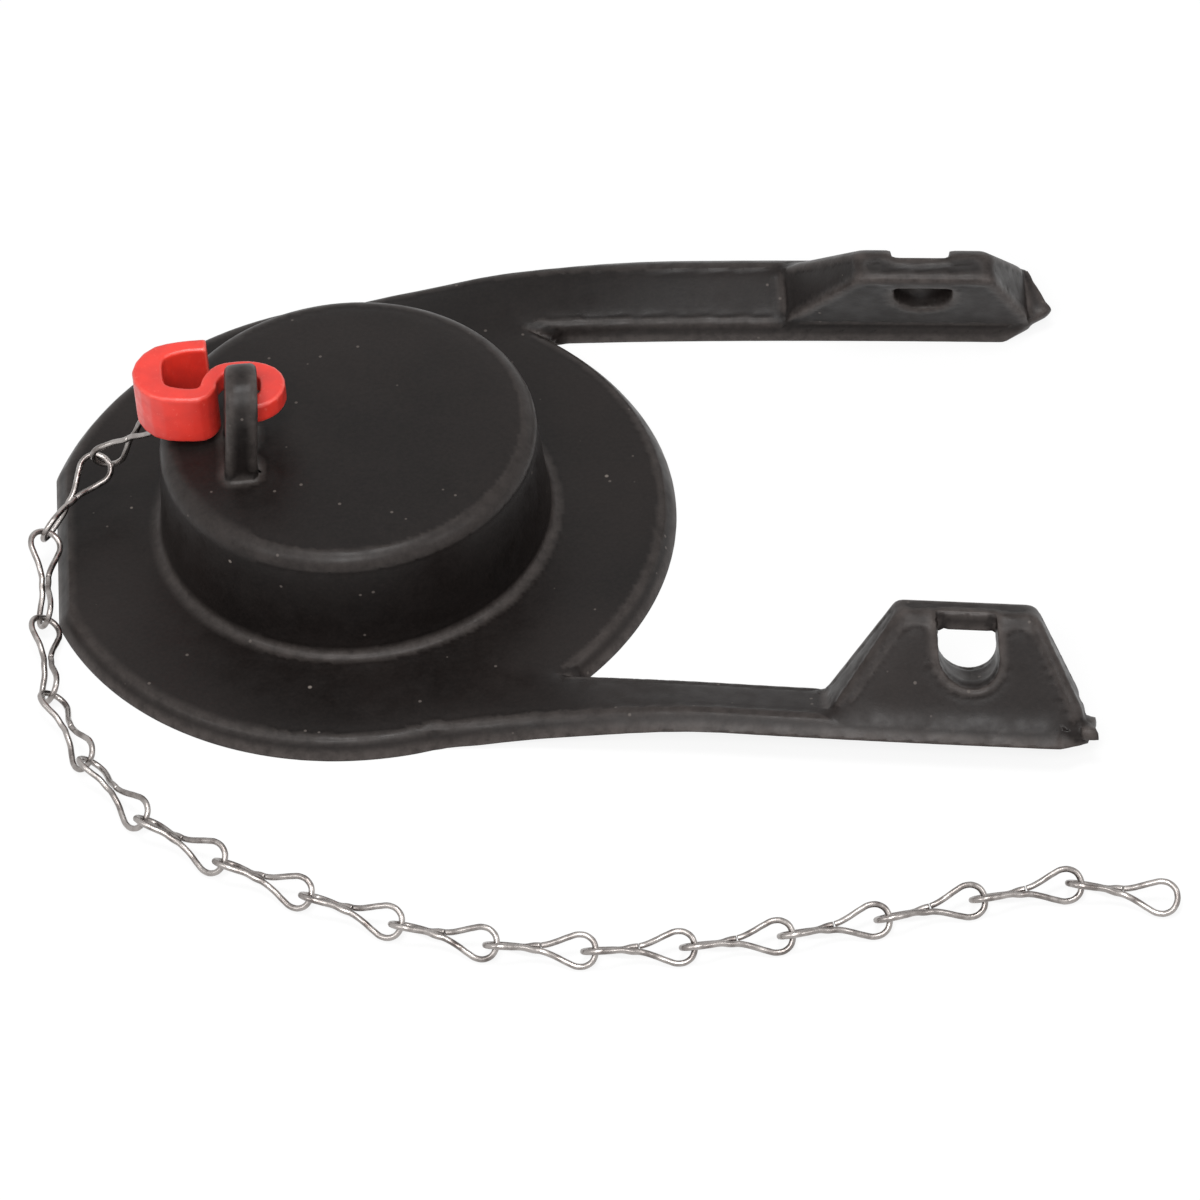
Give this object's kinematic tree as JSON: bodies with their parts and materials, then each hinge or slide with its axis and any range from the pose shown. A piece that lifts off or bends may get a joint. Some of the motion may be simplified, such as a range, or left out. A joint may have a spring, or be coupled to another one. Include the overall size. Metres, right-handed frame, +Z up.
{
  "type": "toilet flapper",
  "caption": "Rubber toilet flapper: round sealing disc with a hollow dome, splayed hinge arms with pierced ears, a hook clip and a twisted-link lift chain.",
  "frame": {"origin": "middle of the whole part's footprint at the level it lies on", "axes": "+X from the disc towards the ends of the arms, +Y away from the side where the chain lies, +Z up from the sealing face towards the dome"},
  "size_m": [0.1394, 0.1228, 0.0329],
  "materials": {
    "rubber": "satin moulded rubber, near black",
    "clip_plastic": "semi-gloss red moulded plastic",
    "chain_wire": "bright drawn wire, slightly dulled"
  },
  "bodies": {
    "root": {"flapper_body": "rubber", "chain_clip": "clip_plastic", "chain_link_01": "chain_wire", "chain_link_02": "chain_wire", "chain_link_03": "chain_wire", "chain_link_04": "chain_wire", "chain_link_05": "chain_wire", "chain_link_06": "chain_wire", "chain_link_07": "chain_wire", "chain_link_08": "chain_wire", "chain_link_09": "chain_wire", "chain_link_10": "chain_wire", "chain_link_11": "chain_wire", "chain_link_12": "chain_wire", "chain_link_13": "chain_wire", "chain_link_14": "chain_wire", "chain_link_15": "chain_wire", "chain_link_16": "chain_wire", "chain_link_17": "chain_wire"}
  },
  "joints": []
}
